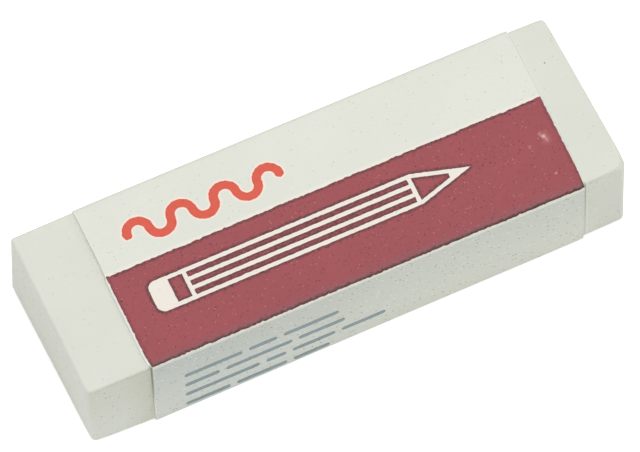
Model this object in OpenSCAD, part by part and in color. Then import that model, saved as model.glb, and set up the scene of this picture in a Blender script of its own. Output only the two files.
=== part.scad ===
// Pencil eraser: a moulded vinyl block in a folded and glued card sleeve.
//
// The sleeve is one strip of card. It starts as a glue flap inside the back of the
// sleeve, goes over the top, down the front and under the block, and comes up the back
// again as an outer panel that is glued over the flap. The sleeve slides on the block.
//
// Frame: X along the block, Y to the back, Z up, in millimetres. The origin is below the
// middle of the whole eraser, on the surface that it rests on.

/* [Block] */
// Length of the block
block_l = 65; // [58:0.5:90]
// Width of the block
block_w = 21.2; // [18:0.1:30]
// Thickness of the block
block_h = 12.6; // [12.2:0.1:20]
// Radius of the block's rounded edges and corners
block_edge_r = 0.4; // [0.3:0.05:2]

/* [Sleeve] */
// Length of block left bare at its -X end
bare_left = 7.8; // [0:0.1:9]
// Length of block left bare at its +X end
bare_right = 4.9; // [0:0.1:8]
// Thickness of the card
card_t = 0.2; // [0.15:0.01:0.4]
// Radius inside each fold in the card
fold_in_r = 0.25; // [0.1:0.05:0.3]
// Gap between the card and the block, on every side
slide_gap = 0.04; // [0.02:0.01:0.3]
// How far the outer glued panel stops short of the top fold
lap_short = 0.4; // [0.1:0.05:3]
// How far the inner glue flap stops short of the bottom fold
flap_short = 0.1; // [0.05:0.05:5]

/* [Printed band] */
// Thickness of every printed layer of ink
ink_t = 0.02; // [0.01:0.005:0.05]
// How far the band's straight upper edge lies behind the sleeve's middle line
band_edge_y = 1.5; // [0:0.1:3]
// Width of bare card between the band and each end of the sleeve
band_margin = 0.12; // [0:0.02:1]

/* [Pencil drawn in the band] */
// Length of the pencil, point included
pencil_l = 38.2; // [24:0.1:40]
// Width of the pencil
pencil_w = 4; // [3.2:0.1:5]
// Length of the sharpened cone
cone_l = 6.6; // [4:0.1:9]
// Length of the bare lead at the end of the cone
lead_l = 2.6; // [2:0.1:3.2]
// Length of the rubber at the blunt end
pencil_rubber_l = 2.4; // [1.5:0.1:4]
// Length of the ferrule between the rubber and the wood
ferrule_l = 2.2; // [1.4:0.1:4]
// Width of the lines that draw the pencil
line_w = 0.5; // [0.2:0.02:0.6]
// Distance from the band's upper edge to the pencil's middle line
pencil_drop = 4.7; // [3:0.1:7]

/* [Squiggle] */
// Number of half turns in the squiggle
squiggle_turns = 7; // [3:1:8]
// Radius of each half turn, to the middle of the line
squiggle_r = 1.3; // [1:0.05:1.6]
// Width of the squiggle's line
squiggle_w = 1.05; // [0.4:0.05:1.4]
// Distance from the band's upper edge to the squiggle's middle line
squiggle_rise = 3.6; // [3:0.1:5]

/* [Dashes on the front] */
// Lengths of the dashes in the first row
dashes_1 = [7, 3.4, 6.7]; // [1:0.1:9]
// Lengths of the dashes in the second row
dashes_2 = [4.2, 8, 5.6]; // [1:0.1:9]
// Lengths of the dashes in the third row
dashes_3 = [9, 2.4, 5.2, 5.3]; // [1:0.1:9]
// Lengths of the dashes in the fourth row
dashes_4 = [5.4, 6.1, 4.4]; // [1:0.1:9]
// Thickness of a dash
dash_w = 0.7; // [0.2:0.05:0.9]
// Space between one dash and the next in a row
dash_gap = 0.8; // [0.4:0.05:1.2]
// Distance from one row of dashes to the next
row_pitch = 2.3; // [1.2:0.05:2.4]
// How far the middle of the rows lies below the middle of the front
rows_drop = 2; // [0:0.1:2]

/* [Print] */
// Distance from the sleeve's -X end to where every printed figure starts
print_margin = 3.6; // [1:0.1:5]

/* [Hidden] */
$fn = 96;
eps = 0.01; // how far a cutter runs past the face that it cuts

// The sleeve's faces, measured from the middle of the block.
in_y = block_w / 2 + slide_gap;
in_z = block_h / 2 + slide_gap;
out_y = in_y + card_t;
out_z = in_z + card_t;
lap_y = out_y + card_t; // outer face of the back, where the card lies double

// The sleeve's length, and where its flat panels end and its folds begin.
sleeve_l = block_l - bare_left - bare_right;
sleeve_x = -block_l / 2 + bare_left;
fold_r = fold_in_r + card_t;
fold_y = out_y - fold_r;
fold_z = out_z - fold_r;
lap_fold_y = lap_y - fold_r;

// Where the middle of the block lies in the frame.
block_y = (out_y + ink_t - lap_y) / 2;
block_z = out_z;

// The middle lines of the printed figures.
squiggle_y = band_edge_y + squiggle_rise;
pencil_y = band_edge_y - pencil_drop;
dash_rows = [dashes_1, dashes_2, dashes_3, dashes_4];

// ---- placing ----

// Moves its children from the middle of the block to their place in the frame.
module on_block() {
    translate([0, block_y, block_z]) children();
}

// Extrudes a section drawn in (Y, Z) along the sleeve, up to a margin at each end.
module along_sleeve(margin = 0) {
    on_block() translate([sleeve_x + margin, 0, 0]) rotate([90, 0, 90])
        linear_extrude(sleeve_l - 2 * margin) children();
}

// Lays a figure drawn in (X, Y) on the sleeve's top. Its x starts at the print's margin.
module on_top(below = 0, above = ink_t) {
    on_block() translate([sleeve_x + print_margin, 0, out_z - below])
        linear_extrude(below + above) children();
}

// Lays a figure drawn in (X, Z) on the sleeve's front. Its x starts at the print's margin.
module on_front() {
    on_block() translate([sleeve_x + print_margin, -out_y, 0]) rotate([90, 0, 0])
        linear_extrude(ink_t) children();
}

// ---- shapes that repeat ----

// A bar with round ends that starts at the origin and runs along X.
module round_bar(length, width) {
    translate([width / 2, -width / 2]) square([length - width, width]);
    for (x = [width / 2, length - width / 2])
        translate([x, 0]) circle(d = width);
}

// Half a ring about the origin, on its +Y side.
module half_ring(radius, width) {
    outer_r = radius + width / 2;
    intersection() {
        difference() {
            circle(outer_r);
            circle(outer_r - width);
        }
        translate([-outer_r, 0]) square([2 * outer_r, outer_r]);
    }
}

// A flat stretch of card between two corners given in (Y, Z).
module panel(low, high) {
    translate(low) square(high - low);
}

// The card turned through a right angle about centre. Quarter 0 is +Y +Z, and they count anticlockwise.
module fold(centre, quarter) {
    translate(centre) rotate(90 * quarter)
        intersection() {
            difference() {
                circle(fold_r);
                circle(fold_in_r);
            }
            square(fold_r);
        }
}

// ---- the eraser ----

// A box about the origin whose edges are quarter rounds and whose corners are eighths of a ball.
module rounded_block(length, width, height, r) {
    flat_x = length - 2 * r;
    flat_y = width - 2 * r;
    flat_z = height - 2 * r;
    cube([length, flat_y, flat_z], center = true);
    cube([flat_x, width, flat_z], center = true);
    cube([flat_x, flat_y, height], center = true);
    for (y = [-0.5, 0.5], z = [-0.5, 0.5])
        translate([0, y * flat_y, z * flat_z]) rotate([0, 90, 0])
            cylinder(r = r, h = flat_x, center = true);
    for (x = [-0.5, 0.5], z = [-0.5, 0.5])
        translate([x * flat_x, 0, z * flat_z]) rotate([90, 0, 0])
            cylinder(r = r, h = flat_y, center = true);
    for (x = [-0.5, 0.5], y = [-0.5, 0.5])
        translate([x * flat_x, y * flat_y, 0]) cylinder(r = r, h = flat_z, center = true);
    for (x = [-0.5, 0.5], y = [-0.5, 0.5], z = [-0.5, 0.5])
        translate([x * flat_x, y * flat_y, z * flat_z]) sphere(r);
}

module eraser_block() {
    color([0.87, 0.88, 0.84])
        on_block() rounded_block(block_l, block_w, block_h, block_edge_r);
}

// The folded strip, seen along X: five panels and four folds, glued where flap and outer panel meet.
module sleeve_section() {
    panel([in_y, flap_short - fold_z], [out_y, fold_z]);           // inner glue flap
    fold([fold_y, fold_z], 0);
    panel([-fold_y, in_z], [fold_y, out_z]);                       // top
    fold([-fold_y, fold_z], 1);
    panel([-out_y, -fold_z], [-in_y, fold_z]);                     // front
    fold([-fold_y, -fold_z], 2);
    panel([-fold_y, -out_z], [lap_fold_y, -in_z]);                 // bottom
    fold([lap_fold_y, -fold_z], 3);
    panel([out_y, -fold_z], [lap_y, fold_z - lap_short]);          // outer back panel
}

module card_sleeve() {
    color([0.89, 0.89, 0.86]) along_sleeve() sleeve_section();
}

// ---- the print: thin layers of ink on the card ----

// The band's layer, seen along X. It ends half-way round the front fold, on the crease.
module band_section() {
    panel([-fold_y, out_z], [band_edge_y, out_z + ink_t]);
    translate([-fold_y, fold_z]) intersection() {
        difference() {
            circle(fold_r + ink_t);
            circle(fold_r);
        }
        polygon([[0, 0], [0, 2 * fold_r], [-2 * fold_r, 2 * fold_r]]);
    }
}

// A pane inside the pencil's outline, between two places along it, in one of a number of rows.
module pane(from_x, to_x, rows = 1, row = 0) {
    pane_w = (pencil_w - (rows + 1) * line_w) / rows;
    translate([from_x, -pencil_w / 2 + line_w + row * (pane_w + line_w)])
        square([to_x - from_x, pane_w]);
}

// A pencil drawn in lines, pointing along +X: solid rubber and lead, open ferrule, wood and cone.
module pencil() {
    half_w = pencil_w / 2;
    wood_x = pencil_rubber_l + ferrule_l;
    cone_x = pencil_l - cone_l;
    lead_x = pencil_l - lead_l;
    slope = half_w / cone_l;
    edge_w = line_w * sqrt(1 + slope * slope); // the cone's slanted line, measured along Y
    difference() {
        union() {
            translate([half_w / 2, -half_w]) square([cone_x - half_w / 2, pencil_w]);
            for (side = [-0.5, 0.5])
                translate([half_w / 2, side * half_w]) circle(half_w / 2);
            translate([0, -half_w / 2]) square([half_w, half_w]);
            polygon([[cone_x, -half_w], [pencil_l, 0], [cone_x, half_w]]);
        }
        pane(pencil_rubber_l, wood_x - line_w);
        for (row = [0 : 2]) pane(wood_x, cone_x - line_w, 3, row);
        polygon([
            for (side = [-1, 1]) [cone_x, side * (half_w - edge_w)],
            for (side = [1, -1]) [lead_x, side * max(slope * lead_l - edge_w, 0)]
        ]);
    }
}

module printed_band() {
    color([0.65, 0.34, 0.37]) difference() {
        along_sleeve(band_margin) band_section();
        on_top(eps, ink_t + eps) translate([0, pencil_y]) pencil();
    }
}

module printed_squiggle() {
    pitch = 2 * squiggle_r;
    color([0.9, 0.38, 0.32]) on_top()
        translate([squiggle_w / 2, squiggle_y]) {
            for (i = [0 : squiggle_turns - 1])
                translate([(i + 0.5) * pitch, 0]) rotate(180 * (i % 2))
                    half_ring(squiggle_r, squiggle_w);
            for (x = [0, squiggle_turns * pitch])
                translate([x, 0]) circle(d = squiggle_w);
        }
}

// The length of a row up to its dash number n, gaps included.
function dash_x(row, n) = n == 0 ? 0 : dash_x(row, n - 1) + row[n - 1] + dash_gap;

module printed_dashes() {
    top_row = (len(dash_rows) - 1) / 2 * row_pitch - rows_drop;
    color([0.42, 0.5, 0.53]) on_front()
        for (r = [0 : len(dash_rows) - 1], n = [0 : len(dash_rows[r]) - 1])
            translate([dash_x(dash_rows[r], n), top_row - r * row_pitch])
                round_bar(dash_rows[r][n], dash_w);
}

eraser_block();
card_sleeve();
printed_band();
printed_squiggle();
printed_dashes();
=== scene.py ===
"""The looks of a pencil eraser: a soft white vinyl block in a folded, printed card sleeve.

Lengths are in metres, in the CAD frame: X along the block, Y to the back, Z up. The block, the sleeve
and the ink each get a finer mesh of their own around the CAD solids, which give every place and size.
"""

import math

import bmesh
import bpy
import numpy as np
from mathutils import Matrix, Vector
from mathutils.geometry import delaunay_2d_cdt


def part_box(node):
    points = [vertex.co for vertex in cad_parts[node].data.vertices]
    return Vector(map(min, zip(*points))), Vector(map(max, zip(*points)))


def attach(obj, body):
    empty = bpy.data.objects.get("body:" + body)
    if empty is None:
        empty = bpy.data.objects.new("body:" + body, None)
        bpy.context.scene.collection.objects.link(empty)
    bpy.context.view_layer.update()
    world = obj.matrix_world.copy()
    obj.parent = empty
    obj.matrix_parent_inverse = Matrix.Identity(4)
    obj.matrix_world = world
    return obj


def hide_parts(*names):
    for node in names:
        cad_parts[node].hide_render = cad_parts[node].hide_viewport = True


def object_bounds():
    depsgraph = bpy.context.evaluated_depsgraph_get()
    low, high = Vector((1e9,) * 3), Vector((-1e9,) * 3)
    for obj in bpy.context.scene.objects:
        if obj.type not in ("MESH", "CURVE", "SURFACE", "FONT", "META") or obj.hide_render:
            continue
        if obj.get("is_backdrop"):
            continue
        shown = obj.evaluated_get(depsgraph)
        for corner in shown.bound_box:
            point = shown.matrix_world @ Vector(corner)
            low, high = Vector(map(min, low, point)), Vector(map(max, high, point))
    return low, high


MM = 0.001

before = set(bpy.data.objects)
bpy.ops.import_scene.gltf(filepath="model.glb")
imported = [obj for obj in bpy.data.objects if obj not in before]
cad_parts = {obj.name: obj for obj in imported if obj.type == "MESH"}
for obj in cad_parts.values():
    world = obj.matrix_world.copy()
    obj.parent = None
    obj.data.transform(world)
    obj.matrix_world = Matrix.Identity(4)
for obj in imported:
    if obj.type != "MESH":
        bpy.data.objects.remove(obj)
cad_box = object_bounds()

# ---------------------------------------------------------------- sizes from the frame

BLOCK_LOW, BLOCK_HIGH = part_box("eraser_block")
SLEEVE_LOW, SLEEVE_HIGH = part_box("card_sleeve")
CENTRE = (BLOCK_LOW + BLOCK_HIGH) / 2
HALF = (BLOCK_HIGH - BLOCK_LOW) / 2

# At the back the card lies double, so the sleeve stands out one card further there than in front.
CARD = (SLEEVE_HIGH.y - BLOCK_HIGH.y) - (BLOCK_LOW.y - SLEEVE_LOW.y)
GAP = BLOCK_LOW.y - SLEEVE_LOW.y - CARD

EDGE_R = 0.4 * MM  # the block's rounded edges
FOLD_R = 0.25 * MM + CARD  # the outside of the sleeve's folds
BACK_R = 0.7 * MM  # the same at the top of the back, where the fold is softer
LAP_SHORT = 0.8 * MM  # outer glued panel to the top fold, clear of that softer fold
FLAP_SHORT = 0.1 * MM  # inner glue flap to the bottom fold

OUT_Y = HALF.y + GAP + CARD
OUT_Z = HALF.z + GAP + CARD
LAP_Y = OUT_Y + CARD
FOLD_Y = OUT_Y - FOLD_R
FOLD_Z = OUT_Z - FOLD_R
LAP_FOLD_Y = LAP_Y - FOLD_R
QUARTER = FOLD_R * math.pi / 2  # length of card in one fold

SLEEVE_LEFT, SLEEVE_RIGHT = SLEEVE_LOW.x - CENTRE.x, SLEEVE_HIGH.x - CENTRE.x
BAND_LOW, BAND_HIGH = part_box("printed_band")
BAND_EDGE = BAND_HIGH.y - CENTRE.y  # the band's straight upper edge
BAND_LEFT, BAND_RIGHT = BAND_LOW.x - CENTRE.x, BAND_HIGH.x - CENTRE.x
INK = BAND_HIGH.z - SLEEVE_HIGH.z  # thickness of the printed layers

# How far the sleeve's cut ends stray along X: (place in Y, stray), from its front to its back.
LEFT_STRAY = ((-OUT_Y, 0.04 * MM), (-9.5 * MM, -0.17 * MM), (1.5 * MM, -0.1 * MM), (3 * MM, 0), (OUT_Y, 0))
RIGHT_STRAY = ((-OUT_Y, -0.27 * MM), (-8.4 * MM, -0.09 * MM), (0, 0.07 * MM), (OUT_Y, 0.25 * MM))


def along_sleeve(x):
    """Where x lies along the sleeve, from 0 at its left end to 1 at its right end."""
    return (x - SLEEVE_LEFT) / (SLEEVE_RIGHT - SLEEVE_LEFT)


def add_object(name, data):
    """A new object in the scene."""
    made = bpy.data.objects.new(name, data)
    bpy.context.scene.collection.objects.link(made)
    return made


# ---------------------------------------------------------------- camera

CAMERA_AZIMUTH = math.radians(-22.852)
CAMERA_ELEVATION = math.radians(62.855)
CAMERA_ROLL = math.radians(-2.126)
CAMERA_DISTANCE = 990.1 * MM
CAMERA_SLIDE = Vector((0.183, 0.333)) * MM  # right and up, so that the eraser sits as framed
CAMERA_LENS = 505.06  # millimetres, on the film below
FILM_WIDTH = 36
CAMERA_CLIP = (0.05, 20)


def make_camera():
    """The camera, above the front and to the left, turned a little about its own axis."""
    azimuth, elevation = CAMERA_AZIMUTH, CAMERA_ELEVATION
    back = Vector((
        math.sin(azimuth) * math.cos(elevation),
        -math.cos(azimuth) * math.cos(elevation),
        math.sin(elevation),
    ))
    level = (-back).cross(Vector((0, 0, 1))).normalized()
    upright = level.cross(-back)
    right = math.cos(CAMERA_ROLL) * level + math.sin(CAMERA_ROLL) * upright
    up = math.cos(CAMERA_ROLL) * upright - math.sin(CAMERA_ROLL) * level
    camera = add_object("camera", bpy.data.cameras.new("camera"))
    camera.data.lens = CAMERA_LENS
    camera.data.sensor_width = FILM_WIDTH
    camera.data.clip_start, camera.data.clip_end = CAMERA_CLIP
    place = CENTRE + back * CAMERA_DISTANCE + right * CAMERA_SLIDE.x + up * CAMERA_SLIDE.y
    turn = Matrix((right, up, back)).transposed().to_4x4()
    camera.matrix_world = Matrix.Translation(place) @ turn
    bpy.context.scene.camera = camera


make_camera()


# ---------------------------------------------------------------- helpers

def linear(colour):
    """An sRGB colour, 0 to 1, as the linear colour that a shader takes."""
    return [c / 12.92 if c <= 0.04045 else ((c + 0.055) / 1.055) ** 2.4 for c in colour] + [1]


def waves(seed, count, shortest, longest):
    """A smooth random field made of plane waves. It gives a function of an (n, 3) array, about -1 to 1."""
    random = np.random.default_rng(seed)
    directions = random.normal(size=(count, 3))
    directions /= np.linalg.norm(directions, axis=1)[:, None]
    lengths = np.exp(random.uniform(math.log(shortest), math.log(longest), count))
    vectors = directions * (2 * math.pi / lengths)[:, None]
    phases = random.uniform(0, 2 * math.pi, count)
    weights = np.sqrt(lengths / lengths.max())
    weights /= weights.sum() * 0.7

    def field(points):
        return np.cos(np.atleast_2d(points) @ vectors.T + phases) @ weights

    return field


KEYS_PER_METRE = 1e7  # points in the same tenth of a micrometre are one


def numbering():
    """An empty list of points, and a function that adds a point unless it is there and gives its number."""
    index, points = {}, []

    def number(point):
        key = tuple(round(c * KEYS_PER_METRE) for c in point)
        if key not in index:
            index[key] = len(points)
            points.append(point)
        return index[key]

    return points, number


def mesh_object(name, points, faces, materials, face_materials=None, sharp=math.radians(32)):
    """A piece from points about the middle of the block, shaded smooth but for edges past the sharp angle."""
    mesh = bpy.data.meshes.new(name)
    mesh.from_pydata([tuple(p) for p in points + np.array(CENTRE)], [], faces)
    for material in materials:
        mesh.materials.append(material)
    if face_materials is not None:
        mesh.polygons.foreach_set("material_index", np.asarray(face_materials, np.int32))
    mesh.validate()
    mesh.polygons.foreach_set("use_smooth", np.ones(len(mesh.polygons), bool))
    mesh.set_sharp_from_angle(angle=sharp)
    mesh.update()
    return add_object(name, mesh)


def add_attribute(piece, name, values):
    """One number for each point of the piece, for its material to read."""
    attribute = piece.data.attributes.new(name, "FLOAT", "POINT")
    attribute.data.foreach_set("value", values.astype(np.float32))


# ---------------------------------------------------------------- materials

MIX_FACTOR, MIX_A, MIX_B, MIX_RESULT = 0, 6, 7, 2  # the Mix node's sockets for colours


class Shader:
    """Adds nodes to one material and links them. Places are in metres from the middle of the block."""

    def __init__(self, name):
        self.material = bpy.data.materials.new(name)
        self.material.use_nodes = True
        self.tree = self.material.node_tree
        self.surface = self.tree.nodes["Principled BSDF"]
        coordinates = self.node("ShaderNodeTexCoord").outputs["Object"]
        self.place = self.vector("SUBTRACT", coordinates, CENTRE)
        split = self.node("ShaderNodeSeparateXYZ", {"Vector": self.place}).outputs
        self.x, self.y, self.z = split[0], split[1], split[2]
        # Two coordinates that serve for every face: X and Y, each slanted by Z.
        slanted = {
            "X": self.math("MULTIPLY_ADD", self.z, 0.7, self.x),
            "Y": self.math("MULTIPLY_ADD", self.z, 0.9, self.y),
        }
        self.flat = self.node("ShaderNodeCombineXYZ", slanted).outputs[0]

    def node(self, kind, inputs=None, **settings):
        """A new node. Each of its inputs is given a socket to link or a value."""
        made = self.tree.nodes.new(kind)
        for key, value in settings.items():
            setattr(made, key, value)
        for key, value in (inputs or {}).items():
            if isinstance(value, bpy.types.NodeSocket):
                self.tree.links.new(value, made.inputs[key])
            else:
                made.inputs[key].default_value = value
        return made

    def set(self, **values):
        """Plain values of the surface, under the names of their sockets."""
        for key, value in values.items():
            self.surface.inputs[key.replace("_", " ")].default_value = value

    def link(self, socket, key):
        """Gives the surface's socket of that name what another socket holds."""
        self.tree.links.new(socket, self.surface.inputs[key])

    def noise(self, size, detail=2.0, roughness=0.5, place=None):
        """Noise whose features are about size metres across."""
        made = self.node("ShaderNodeTexNoise", {
            "Vector": place or self.place, "Scale": 1 / size, "Detail": detail, "Roughness": roughness,
        })
        return made.outputs["Fac"]

    def ramp(self, value, low, high, to_low=0.0, to_high=1.0):
        """value from low to high becomes to_low to to_high, and is clamped."""
        made = self.node("ShaderNodeMapRange", {
            "Value": value, "From Min": low, "From Max": high, "To Min": to_low, "To Max": to_high,
        })
        return made.outputs["Result"]

    def math(self, operation, *values):
        return self.node("ShaderNodeMath", dict(enumerate(values)), operation=operation).outputs[0]

    def vector(self, operation, *values, output=0):
        return self.node("ShaderNodeVectorMath", dict(enumerate(values)), operation=operation).outputs[output]

    def attribute(self, name):
        return self.node("ShaderNodeAttribute", attribute_name=name).outputs["Fac"]

    def product(self, *values):
        total = values[0]
        for value in values[1:]:
            total = self.math("MULTIPLY", total, value)
        return total

    def mix(self, factor, a, b, blend="MIX"):
        """Colour a where the factor is 0, and b, or a multiplied by b, where it is 1."""
        inputs = {MIX_FACTOR: factor, MIX_A: a, MIX_B: b}
        return self.node("ShaderNodeMix", inputs, data_type="RGBA", blend_type=blend).outputs[MIX_RESULT]

    def tint(self, factor, colour, tint):
        """A colour multiplied by a tint, a socket or three numbers, as far as the factor says."""
        tint = tint if isinstance(tint, bpy.types.NodeSocket) else (*tint, 1)
        return self.mix(factor, colour, tint, "MULTIPLY")

    def cast(self, x, z, low, high):
        """A tint, blended from its values at the low and the high edge, each given left and right."""
        along, up = self.ramp(self.x, *x), self.ramp(self.z, *z)
        low, high = (self.mix(along, *((*tint, 1) for tint in pair)) for pair in (low, high))
        return self.mix(up, low, high)

    def specks(self, size, share, seed):
        """Specks about size metres across, some fainter, in a share of cells that are thrice as wide."""
        moved = self.vector("ADD", self.flat, (seed * MM, 0, 0))
        inputs = {"Vector": moved, "Scale": 1 / (3 * size)}
        cells = self.node("ShaderNodeTexVoronoi", inputs, voronoi_dimensions="2D")
        near = self.ramp(cells.outputs["Distance"], 0.12, 0.3, 1, 0)
        chosen = self.node("ShaderNodeSeparateColor", {0: cells.outputs["Color"]})
        some = self.ramp(chosen.outputs[0], share, share + 0.01, 1, 0)
        return self.product(near, some, self.ramp(chosen.outputs[1], 0, 1, 0.25, 1))

    def spot(self, centre, reach, solid, rough=0.3):
        """A spot about a place in millimetres: 1 up to a solid share of its reach, 0 past it."""
        away = self.vector("SUBTRACT", self.place, Vector(centre) * MM)
        far = self.vector("LENGTH", self.vector("DIVIDE", away, Vector(reach) * MM), output="Value")
        uneven = self.ramp(self.noise(0.25 * MM, 3, 0.6), 0.2, 0.8, 1 - rough, 1 + rough)
        return self.ramp(self.math("MULTIPLY", far, uneven), solid, 1, 1, 0)

    def bump(self, height, distance, strength, before=None):
        """Relief from a height of 0 to 1, distance metres deep, on top of the relief before it."""
        inputs = {"Height": height, "Distance": distance, "Strength": strength}
        if before is not None:
            inputs["Normal"] = before
        return self.node("ShaderNodeBump", inputs).outputs["Normal"]


# The card's coat, its fibres, and the mean that the halo round the red ink fades to.
CARD_BASE, CARD_PALE, CARD_DEEP = (0.880, 0.887, 0.844), (0.892, 0.898, 0.857), (0.845, 0.852, 0.808)
CARD_MEAN = (0.888, 0.895, 0.853)
VINYL_DUST, CARD_DUST = (0.5, 0.51, 0.46), (0.5, 0.52, 0.48)
# Where a line of painted shadow lies on the block's front beside each of the sleeve's two ends.
LEFT_SHADE_LINE = SLEEVE_LEFT + LEFT_STRAY[0][1] - 0.1 * MM
RIGHT_SHADE_LINE = SLEEVE_RIGHT + RIGHT_STRAY[0][1] + 0.27 * MM


def vinyl_material():
    """White vinyl with a soft sheen, dusty along its upper edges, with painted shade and light beside the
    sleeve and painted light at a lower corner.
    """
    s = Shader("vinyl")
    base, pale, deep = (linear(c) for c in ((0.866, 0.874, 0.832), (0.876, 0.884, 0.844), (0.84, 0.85, 0.80)))
    colour = s.mix(s.ramp(s.noise(8 * MM), 0.35, 0.65), base, pale)
    colour = s.mix(s.ramp(s.noise(0.4 * MM, 3), 0.5, 0.85, 0, 0.3), colour, deep)
    # Painted shadow, faint and yellowish, beside the sleeve's left edge: a strip on the top, wider on the
    # front.
    away = s.math("SUBTRACT", SLEEVE_LEFT, s.x)
    facing = s.attribute("front")
    in_front = s.ramp(facing, 0.2, 0.9)
    above = s.product(
        s.ramp(away, 0.25 * MM, 1.05 * MM, 0.62, 0), s.ramp(s.z, HALF.z - 0.5 * MM, HALF.z - 0.1 * MM),
        s.ramp(s.noise(0.2 * MM, 2), 0.4, 0.6, 0.35, 1.4),
    )
    beside = s.product(s.ramp(away, 0, 3.4 * MM, 0.8, 0), in_front)
    sleeve_shade = s.product(s.math("MAXIMUM", above, beside), s.ramp(away, -0.8 * MM, -0.3 * MM))
    colour = s.tint(sleeve_shade, colour, (0.86, 0.87, 0.81))
    # Painted shadow: a dark line on the front beside each end of the sleeve, strongest at the top.
    for place, reach in ((LEFT_SHADE_LINE, 0.14 * MM), (RIGHT_SHADE_LINE, 0.13 * MM)):
        off = s.math("ABSOLUTE", s.math("SUBTRACT", s.x, place))
        line = s.product(s.ramp(off, 0.05 * MM, reach, 1, 0), in_front, s.ramp(s.z, -3 * MM, 4 * MM, 0.08, 1))
        colour = s.tint(line, colour, (0.6, 0.62, 0.58))
    # Painted light: the front is lighter just beside the right line, and the block at its lower left front
    # corner.
    painted_light = s.math(
        "ADD", s.ramp(s.x, RIGHT_SHADE_LINE + 0.35 * MM, RIGHT_SHADE_LINE + 0.45 * MM, 0.75, 0),
        s.ramp(s.x, RIGHT_SHADE_LINE + 0.4 * MM, RIGHT_SHADE_LINE + 3 * MM, 0.25, 0),
    )
    painted_light = s.product(painted_light, s.ramp(s.x, RIGHT_SHADE_LINE + 0.08 * MM, RIGHT_SHADE_LINE + 0.15 * MM), in_front)
    corner = s.vector("DISTANCE", s.place, -HALF, output="Value")
    colour = s.tint(painted_light, colour, (1.17, 1.17, 1.16))
    colour = s.tint(s.ramp(corner, 2 * MM, 9 * MM, 1, 0), colour, (1.07, 1.075, 1.09))
    # Fine soil lies along the upper front edge.
    below = s.product(s.ramp(facing, 0.4, 0.65), s.ramp(s.z, HALF.z - 0.8 * MM, HALF.z - 0.35 * MM))
    patches = s.ramp(s.noise(0.2 * MM, 2), 0.45, 0.6, 0.1, 0.75)
    colour = s.tint(s.product(below, patches), colour, (0.8, 0.81, 0.74))
    # Painted shade: the front is a touch darker towards its top at the left.
    colour = s.tint(in_front, colour, s.cast(
        (-20 * MM, 20 * MM), (-4 * MM, 4.5 * MM),
        ((1.0, 1.0, 1.0), (0.99, 0.985, 0.98)), ((0.955, 0.96, 0.93), (1.0, 1.0, 0.985)),
    ))
    # Specks of dust, more of them on the upright sides, and one dot on the top near the right end.
    side = s.ramp(s.z, HALF.z - 0.2 * MM, HALF.z - 0.7 * MM)
    colour = s.mix(s.product(s.specks(0.12 * MM, 0.03, 3), 0.35), colour, linear(VINYL_DUST))
    colour = s.mix(s.product(s.specks(0.13 * MM, 0.045, 13), side, 0.8), colour, linear(VINYL_DUST))
    colour = s.mix(s.product(s.specks(0.14 * MM, 0.05, 33), side), colour, linear((0.97, 0.975, 0.95)))
    dot = s.spot((30.0, 5.1, HALF.z / MM), (0.12, 0.1, 0.3), 0.5)
    colour = s.mix(dot, colour, linear((0.42, 0.42, 0.38)))
    s.link(colour, "Base Color")
    s.link(s.ramp(s.noise(0.5 * MM, 3), 0.3, 0.7, 0.6, 0.74), "Roughness")
    s.set(Specular_IOR_Level=0.35, IOR=1.5)
    s.set(Subsurface_Weight=0.12, Subsurface_Radius=(1.0, 0.9, 0.7), Subsurface_Scale=0.5 * MM)
    s.set(Sheen_Weight=0.06, Sheen_Roughness=0.6)
    soft = s.bump(s.noise(2.5 * MM, 2), 0.01 * MM, 0.5)
    s.link(s.bump(s.noise(0.15 * MM, 3), 0.003 * MM, 0.5, soft), "Normal")
    return s.material


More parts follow.
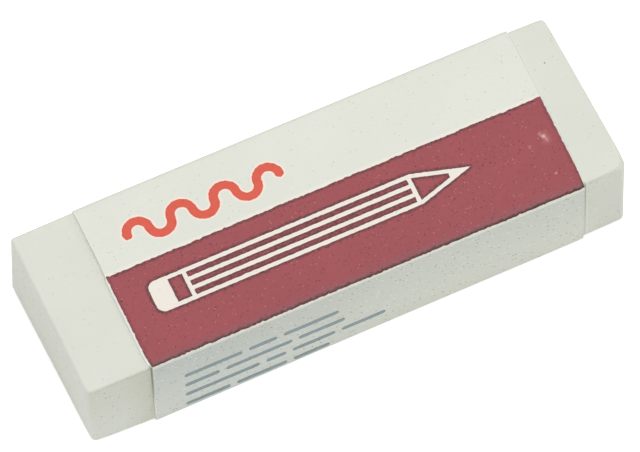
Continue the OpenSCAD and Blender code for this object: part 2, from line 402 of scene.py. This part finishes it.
def card_material():
    """The card's coated, printed side, with fibres along the sleeve."""
    s = Shader("card")
    colour = s.mix(s.ramp(s.noise(11 * MM), 0.3, 0.7), linear(CARD_BASE), linear(CARD_PALE))
    fibre = s.node("ShaderNodeMapping", {"Vector": s.place, "Scale": (0.4, 1, 1)}).outputs[0]
    colour = s.mix(s.ramp(s.noise(0.22 * MM, 4, 0.6, fibre), 0.45, 0.8, 0, 0.4), colour, linear(CARD_DEEP))
    # The front has a cool cast and painted shade: it is darker, most of all at its top and to the left.
    front = s.product(
        s.ramp(s.y, 0.35 * MM - OUT_Y, 0.1 * MM - OUT_Y), s.ramp(s.z, FOLD_Z, FOLD_Z - 0.25 * MM),
    )
    colour = s.tint(front, colour, s.cast(
        (-16 * MM, 6 * MM), (-4 * MM, 5 * MM),
        ((0.93, 0.957, 0.99), (0.966, 0.971, 0.965)), ((0.765, 0.795, 0.825), (0.845, 0.872, 0.862)),
    ))
    # A white coat lies under the band. It shows as a fine line along it and on the crease, wider and cooler
    # to the right. On the crease it is painted highlight as well, where the fold catches the light.
    crease = s.math("ADD", s.z, s.ramp(s.x, SLEEVE_LEFT, SLEEVE_RIGHT, -0.28 * MM, 0.44 * MM))
    crease = s.math("ADD", crease, s.ramp(s.noise(0.3 * MM, 2), 0.3, 0.7, -0.1 * MM, 0.1 * MM))
    coat = s.product(
        s.ramp(s.y, BAND_EDGE + 0.3 * MM, BAND_EDGE + 0.14 * MM),
        s.ramp(crease, FOLD_Z - 0.06 * MM, FOLD_Z + 0.1 * MM),
    )
    cooler = s.product(s.ramp(s.x, -5 * MM, 15 * MM), s.ramp(s.y, 0.1 * MM - FOLD_Y, -0.1 * MM - FOLD_Y))
    colour = s.mix(coat, colour, s.mix(cooler, linear((0.935, 0.91, 0.87)), linear((0.915, 0.912, 0.87))))
    # The front is bright along its cut left edge.
    bright = s.product(
        s.ramp(s.x, SLEEVE_LEFT + 0.14 * MM, SLEEVE_LEFT + 0.25 * MM, 1, 0), front,
        s.ramp(s.noise(0.2 * MM, 2), 0.42, 0.58, 0, 0.8),
    )
    colour = s.mix(bright, colour, linear((0.93, 0.93, 0.91)))
    # Specks, most of them on the front, where half are white.
    colour = s.mix(s.product(s.specks(0.12 * MM, 0.04, 9), 0.45), colour, linear(CARD_DUST))
    colour = s.mix(s.product(s.specks(0.14 * MM, 0.1, 21), front), colour, linear((1.0, 1.0, 0.98)))
    colour = s.mix(s.product(s.specks(0.12 * MM, 0.08, 37), front, 0.95), colour, linear((0.3, 0.33, 0.31)))
    s.link(colour, "Base Color")
    s.link(s.ramp(s.noise(0.6 * MM, 3), 0.3, 0.7, 0.46, 0.58), "Roughness")
    s.set(Specular_IOR_Level=0.4, IOR=1.5)
    soft = s.bump(s.noise(3 * MM, 2), 0.01 * MM, 0.5)
    s.link(s.bump(s.noise(0.18 * MM, 4, 0.6, fibre), 0.003 * MM, 0.6, soft), "Normal")
    return s.material


def raw_card_material():
    """The card's uncoated inside and its cut edges."""
    s = Shader("raw_card")
    fibres = s.ramp(s.noise(0.12 * MM, 4, 0.65), 0.35, 0.7)
    colour = s.mix(fibres, linear((0.97, 0.965, 0.945)), linear((1.0, 0.995, 0.98)))
    # The front edges are darker, most of all at the top: partly soil, partly painted shadow in the gap to the
    # block.
    soil_and_shade = s.product(s.ramp(s.y, 0.6 * MM - OUT_Y, 0.3 * MM - OUT_Y), s.ramp(s.z, -3 * MM, 2 * MM, 0.08, 1))
    colour = s.tint(soil_and_shade, colour, (0.5, 0.52, 0.47))
    s.link(colour, "Base Color")
    s.set(Roughness=0.85, Specular_IOR_Level=0.25)
    s.link(s.bump(s.noise(0.1 * MM, 4, 0.65), 0.01 * MM, 0.6), "Normal")
    return s.material


def ink_material(
    name, colour, pale, deep, rim, rim_reach=(0.5, 0.8), crease_colour=None, crease_rim_colour=None, marks=(), dirt=0.2,
    halo=None,
):
    """Printed ink, darker in a fine rim along its outline.

    pale and deep are the colours of its specks; the two after rim_reach are those where it runs into
    the crease, partly rubbed ink and partly painted shade of the fold. The rim starts and is full at the two
    values of rim_reach, on a scale from 0 at RIM_REACH to 1 at the outline.
    Marks are pale places, each (place, reach, solid, strength). dirt is how strong the fine specks are. A
    halo is the colour of the bare white coat that shows round the ink, out to the layer's outline.
    """
    s = Shader(name)
    crease_colour, crease_rim_colour = crease_colour or colour, crease_rim_colour or rim
    dark = linear([0.6 * c for c in rim])
    body = s.mix(s.ramp(s.noise(6 * MM), 0.3, 0.7), linear(colour), linear([0.975 * c for c in colour]))
    body = s.mix(s.ramp(s.noise(0.2 * MM, 3, 0.65), 0.3, 0.7, 0, 0.3), body, linear(deep))
    body = s.mix(s.product(s.specks(0.2 * MM, 0.4, 61), 0.8), body, linear(deep))
    body = s.mix(s.product(s.specks(0.1 * MM, 0.05, 17), 0.5 * dirt), body, linear(pale))
    body = s.mix(s.product(s.specks(0.11 * MM, 0.1, 29), dirt), body, dark)
    body = s.mix(s.product(s.specks(0.15 * MM, 0.02, 41), dirt), body, dark)
    for place, reach, solid, strength in marks:
        body = s.mix(s.product(s.spot(place, reach, solid, 0.45), strength), body, linear(pale))
    # Where it runs into the crease it is darker and duller: partly rubbed ink, partly painted shade of the
    # fold.
    crease_wear_and_shade = s.product(
        s.ramp(s.y, 1.3 * MM - OUT_Y, 0.5 * MM - OUT_Y, 0, 0.9), s.ramp(s.z, FOLD_Z - 0.3 * MM, FOLD_Z),
        s.ramp(s.noise(0.25 * MM, 3), 0.35, 0.65, 0.1, 1),
    )
    body = s.mix(crease_wear_and_shade, body, linear(crease_colour))
    # The rim is uneven, beaded with dark specks, and fainter at the sleeve's two ends.
    outline = s.attribute("outline")
    ends = s.product(
        s.ramp(s.x, SLEEVE_LEFT + 0.5 * MM, SLEEVE_LEFT + 0.9 * MM, 0.5, 1),
        s.ramp(s.x, SLEEVE_RIGHT - 0.9 * MM, SLEEVE_RIGHT - 0.5 * MM, 1, 0.5),
    )
    uneven = s.ramp(s.noise(0.3 * MM, 2), 0.38, 0.62, 0.45, 1)
    wobble = s.math("ADD", outline, s.ramp(s.noise(0.5 * MM, 3), 0.35, 0.65, -0.22, 0.16))
    body = s.mix(s.product(s.ramp(wobble, *rim_reach), ends, uneven), body, linear(rim))
    beads = s.product(s.specks(0.13 * MM, 0.4, 43), s.ramp(outline, 0.25, 0.5), dirt)
    body = s.mix(beads, body, dark)
    fine = s.ramp(s.noise(0.35 * MM, 2), 0.35, 0.65, -0.18, 0.12)
    crease_rim_wear_and_shade = s.product(s.ramp(s.math("ADD", outline, fine), 0.5, 0.68), crease_wear_and_shade, 1.6)
    body = s.mix(crease_rim_wear_and_shade, body, linear(crease_rim_colour))
    if halo:
        edge = s.math("ADD", outline, s.ramp(s.noise(0.25 * MM, 2), 0.3, 0.7, -0.07, 0.07))
        body = s.mix(s.ramp(edge, 0.4, 0.6), body, linear(halo))
        body = s.mix(s.ramp(outline, 0.66, 1), body, linear(CARD_MEAN))
    s.link(body, "Base Color")
    s.link(s.ramp(s.noise(0.6 * MM, 3), 0.3, 0.7, 0.42, 0.54), "Roughness")
    s.set(Specular_IOR_Level=0.4)
    s.link(s.bump(s.noise(0.18 * MM, 4, 0.6), 0.003 * MM, 0.6), "Normal")
    return s.material


TOP = OUT_Z / MM
# Rubbed places on the band, as ink_material's marks, in millimetres from the middle of the block.
SCUFFS = (
    ((25.86, -3.28, TOP), (0.32, 0.34, 1), 0.3, 0.95),
    ((25.66, -2.85, TOP), (0.28, 0.4, 1), 0.1, 0.35),
    ((26.05, -3.75, TOP), (0.26, 0.5, 1), 0.0, 0.4),
    ((26.05, -3.5, TOP), (0.8, 1.2, 1), 0.0, 0.18),
    ((23.95, -3.85, TOP), (0.3, 0.35, 1), 0.1, 0.28),
    ((25.2, -7.95, TOP), (0.24, 0.22, 1), 0.2, 0.5),
)

VINYL = vinyl_material()
CARD_FACE = card_material()
CARD_RAW = raw_card_material()
INKS = {
    "maroon_ink": ink_material(
        "maroon_ink", (0.612, 0.28, 0.305), pale=(0.9, 0.66, 0.66), deep=(0.55, 0.24, 0.26),
        rim=(0.33, 0.15, 0.16), rim_reach=(0.12, 0.55), crease_colour=(0.5, 0.31, 0.335), crease_rim_colour=(0.22, 0.14, 0.13),
        marks=SCUFFS, dirt=0.9,
    ),
    "red_ink": ink_material(
        "red_ink", (0.865, 0.35, 0.27), pale=(0.94, 0.55, 0.46), deep=(0.84, 0.33, 0.25),
        rim=(0.75, 0.29, 0.21), rim_reach=(0.1, 0.4), halo=(1.0, 0.905, 0.855),
    ),
    "grey_ink": ink_material(
        "grey_ink", (0.55, 0.62, 0.64), pale=(0.68, 0.73, 0.74), deep=(0.48, 0.56, 0.58),
        rim=(0.46, 0.54, 0.57),
    ),
}


# ---------------------------------------------------------------- block

BLOCK_STEP = 0.8 * MM  # between grid lines on the flat faces
EDGE_BAND = 1.05 * MM  # width of the closer grid along each edge
EDGE_STEPS = 13  # grid lines in it
WEAR = 0.14  # how much the edges' radius varies, as a share of it
DIP = 0.06 * MM  # how deep the faces dip
# How much rounder the upright edges are, at their foot and at the top: left front, left back, right front,
# right back. The rounding fades out over CORNER_REACH.
CORNER_R = np.array([[0.2, 0.25], [0, 0], [0.1, 0.9], [0.2, 0.2]]) * MM
CORNER_REACH = 1.3 * MM
# How the soft block is out of true: places along it, each with the shifts of its section's four corners
# (lower front, upper front, lower back, upper back), all in millimetres.
OUT_OF_TRUE = (
    (-32.5, (0.29, 0.08, 0), (0.05, 0, 0), (-0.06, 0.34, 0.4), (0.19, -0.18, 0)),
    (-25, (0, -0.09, -0.1), (0, 0, 0), (0, -0.06, 0), (0, -0.06, 0)),
    (-24.6, (0, 0, 0), (0, 0, 0), (0, -0.11, 0), (0, -0.11, 0)),
    (21, (0, 0.11, 0), (0, 0, 0), (0, -0.11, 0), (0, -0.11, 0)),
    (27.6, (0, 0.14, 0), (0, 0.27, 0), (0, -0.11, 0), (0, -0.15, 0)),
    (32.5, (0.07, 0.22, 0), (0.36, 0.28, 0), (0, 0, 0), (-0.11, -0.18, 0)),
)


def grid_line(half):
    """Places of the grid lines along one side of the block, close together where its edges are round."""
    flat = half - EDGE_BAND
    middle = np.linspace(-flat, flat, max(2, round(2 * flat / BLOCK_STEP)) + 1)
    edge = flat + (half - flat) * np.linspace(0, 1, EDGE_STEPS + 1)[1:]
    return np.concatenate([-edge[::-1], middle, edge])


def box_grid(lines):
    """Points and faces of a box, welded at its edges, whose sides carry the grid lines for X, Y and Z."""
    points, number = numbering()
    faces = []
    for axis in range(3):
        a, b = (axis + 1) % 3, (axis + 2) % 3
        for side in (-1, 1):
            grid = np.empty((len(lines[a]), len(lines[b])), int)
            for i, u in enumerate(lines[a]):
                for j, v in enumerate(lines[b]):
                    point = np.zeros(3)
                    point[axis], point[a], point[b] = side * lines[axis][-1], u, v
                    grid[i, j] = number(point)
            for i in range(len(lines[a]) - 1):
                for j in range(len(lines[b]) - 1):
                    face = [grid[i, j], grid[i + 1, j], grid[i + 1, j + 1], grid[i, j + 1]]
                    faces.append(face if side > 0 else face[::-1])
    return np.array(points), faces


def shifts(points, half):
    """How far points of the block are moved by its being out of true."""
    places = np.array([row[0] for row in OUT_OF_TRUE]) * MM
    corners = np.array([row[1:] for row in OUT_OF_TRUE]) * MM
    back, up = ((points[:, axis] / half[axis] + 1) / 2 for axis in (1, 2))
    shares = ((1 - back) * (1 - up), (1 - back) * up, back * (1 - up), back * up)
    moved = np.zeros_like(points)
    for corner, share in enumerate(shares):
        for axis in range(3):
            moved[:, axis] += share * np.interp(points[:, 0], places, corners[:, corner, axis])
    return moved


def make_block():
    """The block: rounded, its edges uneven as from wear, dipped and out of true. It knows which points face
    the front.
    """
    half = np.array(HALF)
    points, faces = box_grid([grid_line(h) for h in half])
    wear = waves(5, 24, 4 * MM, 25 * MM)(points)
    upright = np.exp(-np.sum(((half - np.abs(points))[:, :2] / CORNER_REACH) ** 2, axis=1))
    height = (points[:, 2] + half[2]) / (2 * half[2])
    foot, head = CORNER_R[2 * (points[:, 0] > 0) + (points[:, 1] > 0)].T
    radius = (EDGE_R * (1 + WEAR * wear) + (foot + (head - foot) * height) * upright)[:, None]
    core = np.clip(points, -half + radius, half - radius)
    outward = points - core
    outward /= np.linalg.norm(outward, axis=1)[:, None]
    points = core + outward * radius
    dips = 0.5 - 0.5 * waves(6, 30, 6 * MM, 40 * MM)(points)
    points -= outward * (DIP * dips)[:, None]
    points += shifts(points, half)
    piece = mesh_object("vinyl_block", points, faces, [VINYL], sharp=math.radians(60))
    add_attribute(piece, "front", np.clip(-outward[:, 1], 0, 1) ** 2)
    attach(piece, "block")
    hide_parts("eraser_block")


# ---------------------------------------------------------------- sleeve

PANEL_STEP = 0.7 * MM  # between points across a panel
FOLD_STEPS = 10  # round a fold
LENGTH_STEP = 0.6 * MM  # between points along the sleeve
PANEL_BOW = 0.025 * MM  # how far the panels stand out between their folds
END_PRESS = 0.025 * MM  # how much closer the card lies at the sleeve's two ends
CUT_SLANT = (0.07 * MM, 0.19 * MM)  # how far the cut ends' inner edges stand out; more at the band's left
BACK_IN = 0.13 * MM  # how much narrower the sleeve is at the back than it should be
FOOT_IN = 0.13 * MM  # how far the front's lower edge is pressed in at the right
FOOT_FLAT = (-0.1 * MM, 0.13 * MM)  # how much the lower front fold is flattened at the left and right end
END_REACH = 2.5 * MM  # over which the press at the ends fades out

# The folded strip in (Y, Z), measured on its printed side from the inner flap round to the outer panel:
# straight stretches as (start, end), folds as (centre, first angle, radius).
STRIP = [
    ("line", (OUT_Y, FLAP_SHORT - FOLD_Z), (OUT_Y, OUT_Z - BACK_R)),
    ("fold", (OUT_Y - BACK_R, OUT_Z - BACK_R), 0, BACK_R),
    ("line", (OUT_Y - BACK_R, OUT_Z), (-FOLD_Y, OUT_Z)),
    ("fold", (-FOLD_Y, FOLD_Z), 90, FOLD_R),
    ("line", (-OUT_Y, FOLD_Z), (-OUT_Y, -FOLD_Z)),
    ("fold", (-FOLD_Y, -FOLD_Z), 180, FOLD_R),
    ("line", (-FOLD_Y, -OUT_Z), (LAP_FOLD_Y, -OUT_Z)),
    ("fold", (LAP_FOLD_Y, -FOLD_Z), 270, FOLD_R),
    ("line", (LAP_Y, -FOLD_Z), (LAP_Y, FOLD_Z - LAP_SHORT)),
]

card_field = waves(11, 26, 5 * MM, 45 * MM)


def strip_points():
    """Points on the strip's printed side in (Y, Z), their outward directions, and their freedom.

    The freedom says how far a point is from the folds: 0 in them, 1 in the middle of a panel.
    """
    places, outward, free = [], [], []
    for kind, a, b, *radius in STRIP:
        if kind == "line":
            a, b = np.array(a), np.array(b)
            along = (b - a) / np.linalg.norm(b - a)
            count = max(2, round(np.linalg.norm(b - a) / PANEL_STEP))
            for t in np.linspace(0, 1, count + 1):
                places.append(a + (b - a) * t)
                outward.append((along[1], -along[0]))
                free.append(4 * t * (1 - t))
        else:
            for angle in np.radians(b + 90 * np.linspace(0, 1, FOLD_STEPS + 1)[1:-1]):
                direction = np.array((math.cos(angle), math.sin(angle)))
                places.append(np.array(a) + radius[0] * direction)
                outward.append(direction)
                free.append(0)
    return np.array(places), np.array(outward), np.array(free)


def lifted(points, normals, free, height=0.0):
    """Points of the card at a height over its printed side, with the real card's unevenness and skew."""
    x = points[:, 0]
    to_end = np.minimum(x - SLEEVE_LEFT, SLEEVE_RIGHT - x)
    ends = np.exp(-np.maximum(to_end, 0) / END_REACH)
    unevenness = card_field(points)
    lift = free * PANEL_BOW * (1 + 0.5 * unevenness) - END_PRESS * ends * (0.7 + 0.3 * unevenness)
    lift *= np.clip(1 + normals[:, 2], 0, 1)  # the bottom rests on the table
    raised = points + normals * (lift + height)[:, None]
    left, right = (np.interp(points[:, 1], *zip(*stray)) for stray in (LEFT_STRAY, RIGHT_STRAY))
    share = along_sleeve(x)
    raised[:, 0] += left + (right - left) * share
    to_front, to_foot = np.clip(-points[:, 1] / OUT_Y, 0, 1), np.clip(-points[:, 2] / OUT_Z, 0, 1)
    raised[:, 1] -= BACK_IN * np.clip(points[:, 1] / OUT_Y, 0, 1)
    raised[:, 1] += FOOT_IN * share * to_foot * to_front
    flattened = 2 * np.minimum(normals[:, 1], 0) * np.minimum(normals[:, 2], 0)
    raised -= normals * (flattened * np.interp(share, (0, 1), FOOT_FLAT))[:, None]
    raised[:, 2] = np.maximum(raised[:, 2], -OUT_Z)  # nothing goes into the table
    return raised


def make_sleeve():
    """The folded card as one closed strip, coated on its printed side and raw on its inside and cut edges."""
    places, outward, free = strip_points()
    lengths = np.linspace(SLEEVE_LEFT, SLEEVE_RIGHT, round((SLEEVE_RIGHT - SLEEVE_LEFT) / LENGTH_STEP) + 1)
    rows, columns = len(lengths), len(places)
    flat = np.array([(x, y, z) for x in lengths for y, z in places])
    normals = np.tile(np.column_stack([np.zeros(columns), outward]), (rows, 1))
    free = np.tile(free, rows)
    inner = lifted(flat, normals, free, -CARD)
    banded = (normals[:, 2] > 0.5) & (flat[:, 1] < BAND_EDGE) & (flat[:, 0] < 0)
    outward_end = np.where(flat[:, 0] == lengths[-1], 1, np.where(flat[:, 0] == lengths[0], -1, 0))
    inner[:, 0] += np.where(banded, CUT_SLANT[1], CUT_SLANT[0]) * outward_end
    points = np.concatenate([lifted(flat, normals, free), inner])
    top = np.arange(rows * columns).reshape(rows, columns)
    under = top + rows * columns
    faces, kinds = [], []

    def quads(grid, kind, flip=False):
        """Faces between the points numbered in a grid, of one kind: 0 coated, 1 raw."""
        for i in range(grid.shape[0] - 1):
            for j in range(grid.shape[1] - 1):
                face = [grid[i, j], grid[i, j + 1], grid[i + 1, j + 1], grid[i + 1, j]]
                faces.append([int(n) for n in (face[::-1] if flip else face)])
                kinds.append(kind)

    # The printed side, the inside, the two cut ends and the strip's own two edges all face outward.
    quads(top, 0)
    quads(under, 1, flip=True)
    quads(np.stack([top[0], under[0]]), 1, flip=True)
    quads(np.stack([top[-1], under[-1]]), 1)
    quads(np.stack([top[:, 0], under[:, 0]]), 1)
    quads(np.stack([top[:, -1], under[:, -1]]), 1, flip=True)
    piece = mesh_object("folded_card", points, faces, [CARD_FACE, CARD_RAW], kinds)
    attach(piece, "sleeve")
    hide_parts("card_sleeve")


# ---------------------------------------------------------------- print

PRINT_STEP = 0.7 * MM  # between points inside a printed figure
OUTLINE_STEP = 0.13 * MM  # between points along its outline
RIM_STEPS = (0.15 * MM, 0.3 * MM, 0.46 * MM)  # rows of points beside the outline
RIM_REACH = 0.5 * MM  # how far from the outline its rim fades out
HALO = 0.25 * MM  # width of the bare white coat round the red ink
BAND_ROUGHNESS = 0.27 * MM  # of the band's outline, which strays about a third of this at most
FIGURE_ROUGHNESS = 0.1 * MM  # the same for the other figures
CREASE_ROUGHNESS = 0.22 * MM  # the same where the band runs into its crease
EDGE_STRAY = (0.1 * MM, 0.11 * MM, 0.1 * MM)  # of the band's left, right and upper edge: out, out and in
CREASE_STRAY = (-0.02 * MM, 0.12 * MM)  # how far the band runs past its crease at the sleeve's two ends
CREASE_DRIFT = 0.04 * MM  # and how much that wanders between them
TOUCH = 0.01 * MM  # points this near a straight edge are on it, and none comes nearer the sleeve's ends
CLEAR = 0.06 * MM  # inner points keep this far from the outline
ROW_CLEAR = 0.9  # a row's points keep this share of its distance from every part of the outline
PROBE = 0.02 * MM  # how far beside a segment its inner side is looked for
WELD = 0.0005 * MM  # the CAD layer's points closer than this are one
FACING = 0.7  # cosine to the card's outward direction above which a CAD face is the layer's outside

rough_along, rough_round = (waves(seed, 60, 0.32 * MM, 1.2 * MM) for seed in (21, 22))
rough_crease = waves(24, 60, 0.25 * MM, 0.7 * MM)
crease_field = waves(23, 24, 1.5 * MM, 14 * MM)


def unroll(points):
    """Places on the top, the front fold and the front, laid flat: along the sleeve, and round it."""
    x, y, z = points.T
    fold = (y < -FOLD_Y) & (z > FOLD_Z)
    angle = np.arctan2(-FOLD_Y - y, np.where(fold, z - FOLD_Z, 1))
    flat = np.where(z >= FOLD_Z, -y, FOLD_Y + QUARTER + FOLD_Z - z)
    return np.column_stack([x, np.where(fold, FOLD_Y + FOLD_R * angle, flat)])


def roll(flat):
    """The places, outward directions and freedom (as in strip_points) of points laid flat by unroll."""
    x, way = flat.T
    angle = np.clip((way - FOLD_Y) / FOLD_R, 0, math.pi / 2)
    down = np.maximum(way - FOLD_Y - QUARTER, 0)
    y = np.where(way < FOLD_Y, -way, -FOLD_Y - FOLD_R * np.sin(angle))
    z = FOLD_Z + FOLD_R * np.cos(angle) - down
    normals = np.column_stack([np.zeros_like(x), -np.sin(angle), np.cos(angle)])
    share = np.clip(np.where(way < FOLD_Y, (way + FOLD_Y) / (2 * FOLD_Y), down / (2 * FOLD_Z)), 0, 1)
    return np.column_stack([x, y, z]), normals, 4 * share * (1 - share)


def film_outline(node):
    """The outline of a printed layer, laid flat: points, and pairs of points as segments."""
    work = bmesh.new()
    work.from_mesh(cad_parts[node].data)
    bmesh.ops.remove_doubles(work, verts=work.verts, dist=WELD)
    upper = set()
    for face in work.faces:
        middle = np.array([face.calc_center_median() - CENTRE])
        if face.normal.dot(Vector(roll(unroll(middle))[1][0])) > FACING:
            upper.add(face)
    ends = [
        [vertex.co - CENTRE for vertex in edge.verts]
        for edge in work.edges if sum(face in upper for face in edge.link_faces) == 1
    ]
    work.free()
    ends = unroll(np.array(ends).reshape(-1, 3)).reshape(-1, 2, 2)
    points, number = numbering()
    segments = []
    for a, b in ends:
        count = max(1, math.ceil(np.linalg.norm(b - a) / OUTLINE_STEP))
        chain = [number(a + (b - a) * i / count) for i in range(count + 1)]
        segments += zip(chain[:-1], chain[1:])
    return np.array(points), np.array(segments)


def inside(points, a, b):
    """Whether points lie inside the outline of segments from a to b."""
    x, y = points[:, :1], points[:, 1:]
    crosses = (a[:, 1] > y) != (b[:, 1] > y)
    rise = np.where(b[:, 1] == a[:, 1], 1, b[:, 1] - a[:, 1])
    at = a[:, 0] + (y - a[:, 1]) * (b[:, 0] - a[:, 0]) / rise
    return (crosses & (x < at)).sum(axis=1) % 2 == 1


def distance(points, a, b):
    """How far points lie from the nearest of the segments from a to b."""
    along = b - a
    share = ((points[:, None] - a) * along).sum(axis=2) / (along ** 2).sum(axis=1)
    nearest = a + np.clip(share, 0, 1)[:, :, None] * along
    return np.linalg.norm(points[:, None] - nearest, axis=2).min(axis=1)


def sideways(a, b):
    """Directions at right angles to the segments from a to b."""
    across = (b - a)[:, ::-1] * (1, -1)
    return across / np.linalg.norm(across, axis=1)[:, None]


def widened(points, segments, width):
    """Points of an outline moved outward by a width."""
    a, b = points[segments[:, 0]], points[segments[:, 1]]
    across = sideways(a, b)
    across[inside((a + b) / 2 + across * PROBE, a, b)] *= -1
    outward = np.zeros_like(points)
    for end in (0, 1):
        np.add.at(outward, segments[:, end], across)
    return points + outward / np.linalg.norm(outward, axis=1)[:, None] * width


def roughened(points, banded):
    """An outline as it was printed: its edges a little out of place, and rough, also along the crease."""
    level = np.column_stack([points, np.zeros(len(points))])
    at_left, at_right = points[:, 0] < BAND_LEFT + TOUCH, points[:, 0] > BAND_RIGHT - TOUCH
    at_top = (np.abs(points[:, 1] + BAND_EDGE) < TOUCH) * banded
    at_edge = np.column_stack([at_right * EDGE_STRAY[1] - at_left * EDGE_STRAY[0], at_top * EDGE_STRAY[2]])
    straight = (at_edge != 0).any(axis=1)[:, None]
    roughness = np.where(straight, BAND_ROUGHNESS, FIGURE_ROUGHNESS)
    points = points + at_edge + roughness * np.column_stack([rough_along(level), rough_round(level)])
    points[:, 0] = np.clip(points[:, 0], SLEEVE_LEFT + TOUCH, SLEEVE_RIGHT - TOUCH)
    stray = CREASE_STRAY[0] + (CREASE_STRAY[1] - CREASE_STRAY[0]) * along_sleeve(points[:, 0])
    stray += CREASE_DRIFT * crease_field(level) + CREASE_ROUGHNESS * rough_crease(level)
    past = points[:, 1] - FOLD_Y
    points[:, 1] += np.where((past > 0) & (past < QUARTER), past / (QUARTER / 2) * stray, 0)
    return points


def inner_points(points, a, b):
    """Points inside an outline of segments from a to b: a grid, closer in the fold, and rows along it."""
    low, high = points.min(axis=0), points.max(axis=0)
    columns = np.arange(low[0], high[0], PRINT_STEP)
    levels = [np.arange(low[1], high[1], PRINT_STEP)]
    if low[1] < FOLD_Y < high[1]:
        levels.append(np.arange(FOLD_Y, high[1], FOLD_R / FOLD_STEPS))
    extra = np.concatenate([[(x, y) for x in columns for y in rows] for rows in levels])
    extra = extra[distance(extra, a, b) > CLEAR]
    across = sideways(a, b)
    for step in RIM_STEPS:
        row = np.concatenate([(a + b) / 2 + across * step, (a + b) / 2 - across * step])
        extra = np.concatenate([extra, row[distance(row, a, b) > ROW_CLEAR * step]])
    return extra[inside(extra, a, b)]


def make_print(node, name, ink, halo=0.0):
    """The CAD's thin layer of ink as a finer mesh on the uneven card. It knows how near its outline is."""
    points, segments = film_outline(node)
    if halo:
        points = widened(points, segments, halo)
    points = roughened(points, node == "printed_band")
    a, b = points[segments[:, 0]], points[segments[:, 1]]
    everything = np.concatenate([points, inner_points(points, a, b)]) / MM
    flat, _, triangles, *_ = delaunay_2d_cdt([Vector(p) for p in everything], segments.tolist(), [], 0, 1e-5)
    flat, triangles = np.array(flat) * MM, np.array(triangles)
    triangles = triangles[inside(flat[triangles].mean(axis=1), a, b)]
    used = np.unique(triangles)
    triangles, flat = np.searchsorted(used, triangles), flat[used]

    count = len(flat)
    card, normals, free = roll(flat)
    corners = np.concatenate([lifted(card, normals, free, INK), lifted(card, normals, free)])
    sides = np.concatenate([triangles[:, (0, 1)], triangles[:, (1, 2)], triangles[:, (2, 0)]])
    known = {(int(u), int(v)) for u, v in sides}
    rim = sorted((u, v) for u, v in known if (v, u) not in known)
    faces = [[int(n) for n in face[::-1]] for face in triangles]
    faces += [[int(n) + count for n in face] for face in triangles]
    faces += [[u, v, v + count, u + count] for u, v in rim]
    piece = mesh_object(name, corners, faces, [INKS[ink]])
    add_attribute(piece, "outline", np.tile(np.clip(1 - distance(flat, a, b) / RIM_REACH, 0, 1), 2))
    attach(piece, "sleeve")
    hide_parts(node)


make_block()
make_sleeve()
make_print("printed_band", "band_print", "maroon_ink")
make_print("printed_squiggle", "squiggle_print", "red_ink", HALO)
make_print("printed_dashes", "dashes_print", "grey_ink")


# ---------------------------------------------------------------- stage and light

FLOOR_REACH = 3.0
FLOOR_COLOUR = (0.94, 0.94, 0.93, 1)
FLOOR_GLOW = 0.45  # what the camera sees on top of the floor's own shade
WHITE = (1, 1, 1, 1)
WORLD_LIGHT = 0.265
LAMP_DISTANCE = 2.0
LAMPS = (  # name, direction, size, irradiance
    ("overhead", (0.0, 0.05, 1.0), 3.0, 0.75),
    ("right", (0.5, -0.3, 0.8), 2.4, 0.40),
    ("left", (-0.86, -0.2, 0.47), 2.0, 0.18),
)


def camera_sees(tree):
    """1 where a camera, glossy or transmission ray looks, 0 where light bounces."""
    path = tree.nodes.new("ShaderNodeLightPath")
    total = path.outputs["Is Camera Ray"]
    for name in ("Is Glossy Ray", "Is Transmission Ray"):
        add = tree.nodes.new("ShaderNodeMath")
        add.operation = "MAXIMUM"
        tree.links.new(total, add.inputs[0])
        tree.links.new(path.outputs[name], add.inputs[1])
        total = add.outputs[0]
    return total


def make_floor():
    """A pale floor that takes the object's shadow and looks nearly white."""
    mesh = bpy.data.meshes.new("floor")
    r = FLOOR_REACH
    mesh.from_pydata([(-r, -r, 0), (r, -r, 0), (r, r, 0), (-r, r, 0)], [], [(0, 1, 2, 3)])
    s = Shader("floor")
    s.set(Base_Color=FLOOR_COLOUR, Roughness=1.0, Specular_IOR_Level=0.0, Emission_Color=WHITE)
    s.link(s.math("MULTIPLY", camera_sees(s.tree), FLOOR_GLOW), "Emission Strength")
    mesh.materials.append(s.material)
    add_object("floor", mesh)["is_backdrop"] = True


def make_world():
    """A plain world that lights the object softly and looks white."""
    world = bpy.data.worlds.new("studio")
    bpy.context.scene.world = world
    world.use_nodes = True
    tree = world.node_tree
    background = tree.nodes["Background"]
    background.inputs["Color"].default_value = WHITE
    seen = camera_sees(tree)
    strength = tree.nodes.new("ShaderNodeMapRange")
    strength.inputs["To Min"].default_value = WORLD_LIGHT
    strength.inputs["To Max"].default_value = 1
    tree.links.new(seen, strength.inputs["Value"])
    tree.links.new(strength.outputs["Result"], background.inputs["Strength"])


def make_lamp(name, direction, size, irradiance):
    """A square soft lamp that gives the irradiance, in units of pi, to a surface at the block facing it."""
    data = bpy.data.lights.new(name, "AREA")
    data.shape = "SQUARE"
    data.size = size
    data.energy = irradiance * (math.pi * LAMP_DISTANCE) ** 2
    toward = Vector(direction).normalized()
    turn = toward.to_track_quat("Z", "Y").to_matrix().to_4x4()
    add_object(name, data).matrix_world = Matrix.Translation(CENTRE + toward * LAMP_DISTANCE) @ turn


make_floor()
make_world()
for lamp in LAMPS:
    make_lamp(*lamp)

bpy.context.scene.view_settings.view_transform = "Standard"

boxes = {"cad": cad_box, "visual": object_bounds()}
{name: [[float(c) for c in corner] for corner in box] for name, box in boxes.items()}
